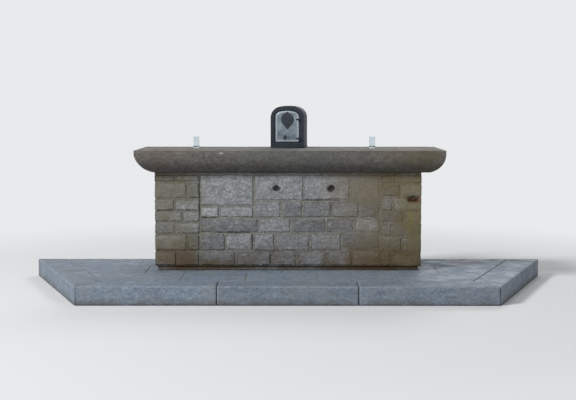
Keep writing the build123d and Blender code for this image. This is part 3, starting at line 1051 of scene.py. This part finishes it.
def front_frame():
    """Flat iron band with a rolled outer rim and a chamfered opening, and rivets along it"""
    # Section in millimetres: inset from the outline, and depth
    roll = [(4.6 - 4.6 * math.cos(a), 1.5 - 4.0 * math.sin(a)) for a in np.radians(range(0, 181, 20))]
    section = [(0.2, 11.6), (0.2, 7), (0.1, 3.5)] + roll + [(10.5, 0.2), (14, 0), (20, 0), (27, 0)]
    section += [(34.5, 0), (36.2, 0.8), (37, 2.4), (37, 6), (37, 11.6), (24, 12), (8, 12)]
    loops, worn = [], []
    for inset, into in section:
        outline = arch_loop(inset * MM, frame_foot(inset * MM))
        ripple = 0.35 * MM * rough_noise(stood(outline, into * MM), 0.022, 21)
        loops.append(stood(outline, into * MM + ripple * (into < 1)))
        worn += [0.6 if into < 0 or inset == 36.2 else 0.0] * len(outline)
    pile = Pile()
    add_turned(pile, *loft(loops), edge=worn)
    path = arch_side(RIVET_INSET, frame_foot(RIVET_INSET))
    lengths = np.concatenate([[0], np.cumsum(np.linalg.norm(np.diff(path, axis=0), axis=1))])
    rivets = [(0.0, CUPBOARD_HEIGHT - RIVET_INSET)]
    for along in RIVET_PLACES:
        across, up = (np.interp(along, lengths, path[:, axis]) for axis in (0, 1))
        rivets += [(-across, up), (across, up)]
    for across, up in rivets:
        add_rivet(pile, (across, 0.3 * MM, up), (0, -1, 0), *FRAME_RIVET)
    pile.piece("front_frame_forged", "dark_iron", "tabernacle_front_frame")


def add_bent_sheet(pile, outer, inner, depths, dent=0.0, **values):
    """Sheet bent over an arch: its outer and inner outline, and the depths that it is cut at"""
    points, quads, caps = block_grid(np.arange(len(outer)), (0.0, 1.0), depths)
    place, share = points[:, 0].astype(int), points[:, 1:2]
    points = stood(outer[place] * (1 - share) + inner[place] * share, points[:, 2])
    points = sunk(points, quads, dent * bumps(points, 0.032, 44, 2))
    add_turned(pile, points, quads, **values)


def add_strap(pile, into):
    """Riveted strap round the outside of the shell"""
    path, under = (whole_arch(inset, PLATE_THICKNESS) for inset in (FRAME_LAP - 1.8 * MM, FRAME_LAP + MM))
    add_bent_sheet(pile, path, under, into + SHELL_STRAP_WIDTH * np.linspace(-0.5, 0.5, 5), edge=0.4)
    for share in SHELL_RIVET_SHARES:
        number = round(share * (len(path) - 1))
        (across, up), out = path[number], path[number] - under[number]
        add_rivet(pile, (across, into, up), (out[0], 0, out[1]), *SHELL_RIVET)


def shell():
    """Bent iron sheet over the arch, with a riveted strap at each end, and a back sheet"""
    pile = Pile()
    outer, inner = (whole_arch(FRAME_LAP + inset, PLATE_THICKNESS) for inset in (0, SHELL_THICKNESS))
    add_bent_sheet(pile, outer, inner, cuts(FRAME_THICKNESS, CUPBOARD_DEPTH, 2 * MM, 7 * MM), 0.6 * MM)
    rim = arch_loop(FRAME_LAP + SHELL_THICKNESS / 2, PLATE_THICKNESS)
    middle = np.array(BACK_SHEET_MIDDLE)
    loops = []
    for back, scales in ((0, (0.02, 0.25, 0.5, 0.75, 0.92, 1.0)), (SHELL_THICKNESS, (1.0, 0.6, 0.02))):
        into = CUPBOARD_DEPTH - back - 0.2 * MM
        loops += [stood(middle + (rim - middle) * scale, into) for scale in scales]
    add_turned(pile, *loft(loops, closed=False))
    for into in SHELL_STRAPS:
        add_strap(pile, into)
    pile.piece("arched_shell_sheet", "dark_iron", "tabernacle_shell")


def base_plate():
    half = CUPBOARD_WIDTH / 2 + PLATE_MARGIN
    radius = 2 * MM
    low = (-half, -PLATE_MARGIN, 0.0)
    high = (half, CUPBOARD_DEPTH + PLATE_MARGIN, PLATE_THICKNESS)
    points, quads, caps = cut_block(low, high, radius, (12 * MM, 12 * MM, 4 * MM))
    points, edge = rounded(points, low, high, radius)
    pile = Pile()
    add_turned(pile, sunk(points, quads, 0.5 * MM * bumps(points, 0.03, 3)), quads, caps, edge=edge)
    pile.piece("base_plate_forged", "dark_iron", "tabernacle_base_plate")


def keyhole_reach(angle):
    """How far the keyhole's edge lies from the middle of its round part"""
    half_slot, length = KEYHOLE_SLOT[0] / 2, KEYHOLE_SLOT[1]
    across, down = np.abs(np.cos(angle)), -np.sin(angle)
    slot = np.minimum(half_slot / np.maximum(across, 1e-6), length / np.maximum(down, 1e-6))
    return np.where(down > 0, np.maximum(slot, KEYHOLE_RADIUS), KEYHOLE_RADIUS)


def door():
    """Beaten sheet with a raised border, pierced by its keyhole"""
    inset, foot = FRAME_BAND + DOOR_GAP, FRAME_SILL + DOOR_GAP
    outline = arch_loop(inset, foot)
    out = outline - KEYHOLE_PLACE
    angle = np.arctan2(out[:, 1], out[:, 0])
    hole = KEYHOLE_PLACE + around(angle, keyhole_reach(angle))
    loops, worn, tarnished = [], [], []
    for share in (*np.linspace(0, 0.9, 75, endpoint=False), *np.linspace(0.9, 1, 26)):
        flat = hole + (outline - hole) * share
        inside = inside_distance(flat[:, 0], flat[:, 1], inset, foot)
        raised, line = band(inside, *DOOR_BORDER), band(inside, *DOOR_LINE)
        dents = bumps(stood(flat, 0), 0.011, 61, 2)
        field = smoothstep(inside, 0.020, 0.024)
        into = DENT_DEPTH * dents * field + 0.4 * MM * (1 - field)
        into = into + 1.2 * MM * smoothstep(inside, 0.0025, 0)
        loops.append(stood(flat, into - BORDER_HEIGHT * raised - LINE_HEIGHT * line))
        worn.append(0.75 * raised + 0.4 * line)
        corner = smoothstep(inside, 0.027, 0.0215) * field
        around_lock = np.hypot(flat[:, 0] - KEYHOLE_PLACE[0], flat[:, 1] - KEYHOLE_PLACE[1])
        tarnished.append(0.45 * corner + 0.35 * smoothstep(around_lock, 0.05, 0.015))
    for share in (1.0, 0.5, 0.0):
        loops.append(stood(hole + (outline - hole) * share, DOOR_THICKNESS))
    plain = [np.zeros(3 * len(outline))]
    pile = Pile()
    add_turned(pile, *loft(loops), edge=np.concatenate(worn + plain), stain=np.concatenate(tarnished + plain))
    pile.piece("door_sheet", "door_metal", "tabernacle_door_panel", body="tabernacle_door")


def lock_case():
    """Pressed iron case over the lock on the door's inner side, with a rivet at each corner"""
    half, rise = LOCK_CASE_WIDTH / 2, LOCK_CASE_HEIGHT / 2
    middle_x, middle_z = KEYHOLE_PLACE
    face = DOOR_THICKNESS + LOCK_CASE_DEPTH - 1.2 * MM
    low = (middle_x - half, DOOR_THICKNESS, middle_z - rise)
    high = (middle_x + half, face, middle_z + rise)
    radius = 3 * MM
    points, quads, caps = cut_block(low, high, radius, (2 * MM, 2 * MM, 2 * MM), ("y-",))
    inside = np.minimum(half - np.abs(points[:, 0] - middle_x), rise - np.abs(points[:, 2] - middle_z))
    points, edge = rounded(points, low, high, radius, ("y-",))
    pressed = smoothstep(inside, 10 * MM, 13 * MM) * (points[:, 1] > face - MM)
    depth = 0.3 * MM * bumps(points, 0.014, 91, 2) * (points[:, 1] > DOOR_THICKNESS + MM)
    points[:, 1] -= 1.5 * MM * pressed + depth
    pile = Pile()
    add_turned(pile, points, quads, caps, edge=0.5 * edge)
    rivet_x, rivet_z = half - LOCK_RIVET_INSET, rise - LOCK_RIVET_INSET
    for side, end in ((-1, -1), (-1, 1), (1, -1), (1, 1)):
        place = (middle_x + side * rivet_x, face - 0.4 * MM, middle_z + end * rivet_z)
        add_rivet(pile, place, (0, 1, 0), *LOCK_RIVET)
    pile.piece("lock_case_pressed", "dark_iron", "tabernacle_lock_case", body="tabernacle_door")


def hinge_rivets(name, body, side, rise, places):
    """Two rivets through each hinge strap on one side of the pintles"""
    pile = Pile()
    for height in HINGE_HEIGHTS:
        for along in places:
            place = (HINGE_ACROSS + side * along, HINGE_FACE + 0.2 * MM, height + rise)
            add_rivet(pile, place, (0, -1, 0), *HINGE_RIVET)
    pile.piece(name, "dark_iron", body=body)


def medallion_relief(radius, turns, down, to_edge):
    """Height of the boss above the door, by the distance from its middle and from its edge"""
    rounding = np.clip(1 - to_edge / (3 * MM), 0, 1)
    height = MEDALLION_THICKNESS - 3 * MM * (1 - np.sqrt(1 - rounding ** 2))
    rings = (MEDALLION_BOSS, MEDALLION_PETALS, MEDALLION_BEADS, MEDALLION_RIM)
    boss, petals, beads, rim = (swell(radius - middle, half_width) for middle, half_width, _ in rings)
    height = height + MEDALLION_BOSS[2] * np.sqrt(boss)
    height = height + MEDALLION_PETALS[2] * (petals * np.abs(np.cos(5 * turns)) ** 0.7)
    height = height + MEDALLION_BEADS[2] * beads * (0.55 + 0.45 * np.cos(44 * turns))
    height = height + MEDALLION_RIM[2] * np.sqrt(rim)
    leaf = smoothstep(radius, MEDALLION_RADIUS - 0.002, MEDALLION_RADIUS + 0.004)
    across = radius * np.sin(down)
    rib = 1.6 * MM * swell(across, 0.0022)
    veins = 0.5 + 0.5 * np.cos((radius - 0.8 * across) / 0.0011)
    return height + leaf * (rib + 0.7 * MM * veins * smoothstep(to_edge, 0.001, 0.005))


def medallion():
    """Turned and chased boss: a rosette in a rim of beads, and a leaf-shaped point below"""
    turns = np.linspace(0, 2 * math.pi, 240, endpoint=False)
    down = np.abs((turns + math.pi / 2 + math.pi) % (2 * math.pi) - math.pi)
    tangent = math.sqrt(MEDALLION_RADIUS ** 2 - MEDALLION_SPREAD ** 2)
    slope = (MEDALLION_DROP - tangent) / MEDALLION_SPREAD
    point = MEDALLION_DROP / (np.cos(down) + slope * np.sin(down))
    reach = np.where(down < math.atan2(MEDALLION_SPREAD, tangent), point, MEDALLION_RADIUS)
    reach = reach + MEDALLION_BUD[1] * np.sqrt(swell(math.pi - down, MEDALLION_BUD[0]))
    section = []
    for share in (0.015, *np.linspace(0.03, 1, 66)):
        section.append((share, -medallion_relief(reach * share, turns, down, reach * (1 - share))))
    section += [(1.0, -1.5 * MM), (1.0, 0.0), (0.5, 0.0), (0.015, 0.0)]
    loops = [stood(around(turns, reach * share) + (0, MEDALLION_HEIGHT), into) for share, into in section]
    pile = Pile()
    add_turned(pile, *loft(loops, closed=False))
    nodes = ("tabernacle_medallion", "tabernacle_medallion_rim", "tabernacle_medallion_centre")
    pile.piece("door_medallion", "dark_iron", *nodes, body="tabernacle_door", look="medallion")


def tabernacle():
    front_frame()
    shell()
    base_plate()
    door()
    medallion()
    lock_case()
    hinge_rivets("door_strap_rivets", "tabernacle_door", -1, HINGE_RISE, DOOR_STRAP_RIVETS)
    hinge_rivets("frame_strap_rivets", "altar", 1, -HINGE_RISE, FRAME_STRAP_RIVETS)
    for name in ("upper_pintle", "lower_pintle", "upper_hinge_eye", "lower_hinge_eye"):
        paint("tabernacle_" + name, "dark_iron")
    paint("tabernacle_keyhole_plate", "medallion")


# Glass vases

def arc(reach, up, radius, degrees):
    """Round edge of a turned profile"""
    return [(reach + radius * math.cos(lean), up + radius * math.sin(lean)) for lean in np.radians(degrees)]


def vase(name, node):
    """Straight tumbler with a heavy foot: up the outside, over a round lip and down the inside"""
    low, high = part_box(node)
    radius, height = (high.x - low.x) / 2, high.z - low.z
    wall, foot_round, floor, floor_round = 2.5 * MM, 2.5 * MM, 8 * MM, 7 * MM
    lip, inner = wall / 2, radius - wall
    profile = [(1 * MM, 1.2 * MM), (0.5 * radius, 1.0 * MM), (0.8 * radius, 0.2 * MM)]
    profile += arc(radius - foot_round, foot_round, foot_round, (-90, -60, -30, 0))
    profile += [(radius, z) for z in np.linspace(0.01, height - lip, 12, endpoint=False)]
    profile += arc(radius - lip, height - lip, lip, range(0, 181, 20))
    profile += [(inner, z) for z in np.linspace(height - 2 * lip, floor + floor_round, 12)]
    profile += arc(inner - floor_round, floor + floor_round, floor_round, range(-15, -91, -15))
    profile.append((1 * MM, floor))
    turns = np.linspace(0, 2 * math.pi, 72, endpoint=False)
    middle = ((low.x + high.x) / 2, (low.y + high.y) / 2)
    loops = [np.insert(middle + around(turns, reach), 2, low.z + up, axis=1) for reach, up in profile]
    pile = Pile()
    pile.add(*outward(*loft(loops, closed=False)))
    pile.piece(name, "vase_glass", node)


# Floor, light and camera

def seen_as_background(tree):
    """1 for rays that see the studio as background: the camera's own, and those off gloss or through glass"""
    path = add_node(tree, "ShaderNodeLightPath").outputs
    seen = path["Is Camera Ray"]
    for name in ("Is Glossy Ray", "Is Transmission Ray"):
        seen = add_node(tree, "ShaderNodeMath", {0: seen, 1: path[name]}, operation="MAXIMUM").outputs[0]
    return seen


def floor():
    """Pale floor that fades into the background away from the object"""
    size, fade_start, fade_end = 60.0, 2.6, 5.6
    corners = [(-size, -size, 0), (size, -size, 0), (size, size, 0), (-size, size, 0)]
    mesh = bpy.data.meshes.new("studio_floor")
    mesh.from_pydata(corners, [], [(0, 1, 2, 3)])
    look = Look("studio_floor")
    connect(look.surface, {"Base Color": srgb(222, 223, 224), "Roughness": 0.9})
    distance = look.out("ShaderNodeVectorMath", {0: look.place}, "Value", operation="LENGTH")
    share = look.times(look.span(distance, fade_start, fade_end), seen_as_background(look.tree))
    glow = look.out("ShaderNodeEmission", {"Color": BACKGROUND, "Strength": 1.0})
    mixed = look.out("ShaderNodeMixShader", {0: share, 1: look.surface.outputs[0], 2: glow})
    connect(look.tree.nodes["Material Output"], {"Surface": mixed})
    mesh.materials.append(look.material)
    made = placed("studio_floor", mesh)


def world():
    """Faint sky light, and a pale backdrop"""
    made = bpy.data.worlds.new("studio")
    bpy.context.scene.world = made
    made.use_nodes = True
    tree = made.node_tree
    tree.nodes.clear()
    ambient = add_node(tree, "ShaderNodeBackground", {"Color": (0.93, 0.96, 1.0, 1.0), "Strength": 0.24})
    backdrop = add_node(tree, "ShaderNodeBackground", {"Color": BACKGROUND, "Strength": 1.0})
    shares = {0: seen_as_background(tree), 1: ambient.outputs[0], 2: backdrop.outputs[0]}
    mixed = add_node(tree, "ShaderNodeMixShader", shares)
    add_node(tree, "ShaderNodeOutputWorld", {"Surface": mixed.outputs[0]})


def aim(made, place, target):
    made.location = place
    made.rotation_euler = (Vector(target) - Vector(place)).to_track_quat("-Z", "Y").to_euler()


def lamp(name, place, target, size, power):
    data = bpy.data.lights.new(name, "AREA")
    data.shape = "DISK"
    data.size = size
    data.energy = power
    aim(placed(name, data), place, target)


def camera():
    data = bpy.data.cameras.new("camera")
    data.sensor_width = SENSOR_WIDTH
    data.lens = SENSOR_WIDTH * PHOTO_FOCAL_PX * RENDER_ZOOM / PHOTO_WIDTH_PX
    made = placed("camera", data)
    aim(made, CAMERA_PLACE, CAMERA_TARGET)
    bpy.context.scene.camera = made


camera()
world()
floor()
lamp("key", (-13.7, -9.7, 12.2), (0, 0.1, 0.6), size=4.0, power=3650)
lamp("fill", (13.5, -11.7, 7.2), (0, 0.1, 0.6), size=7.2, power=430)
lamp("rear", (4.5, 14.4, 12.6), (0, 0.4, 0.6), size=7.2, power=972)

pier("left_pier_stones", "altar_left_pier", LEFT_COURSES, 5)
pier("right_pier_stones", "altar_right_pier", RIGHT_COURSES, 8)
middle_wall()
mortar()
mensa()
step()
tabernacle()
vase("left_vase_glass", "left_vase")
vase("right_vase_glass", "right_vase")

bpy.context.scene.view_settings.view_transform = "Standard"
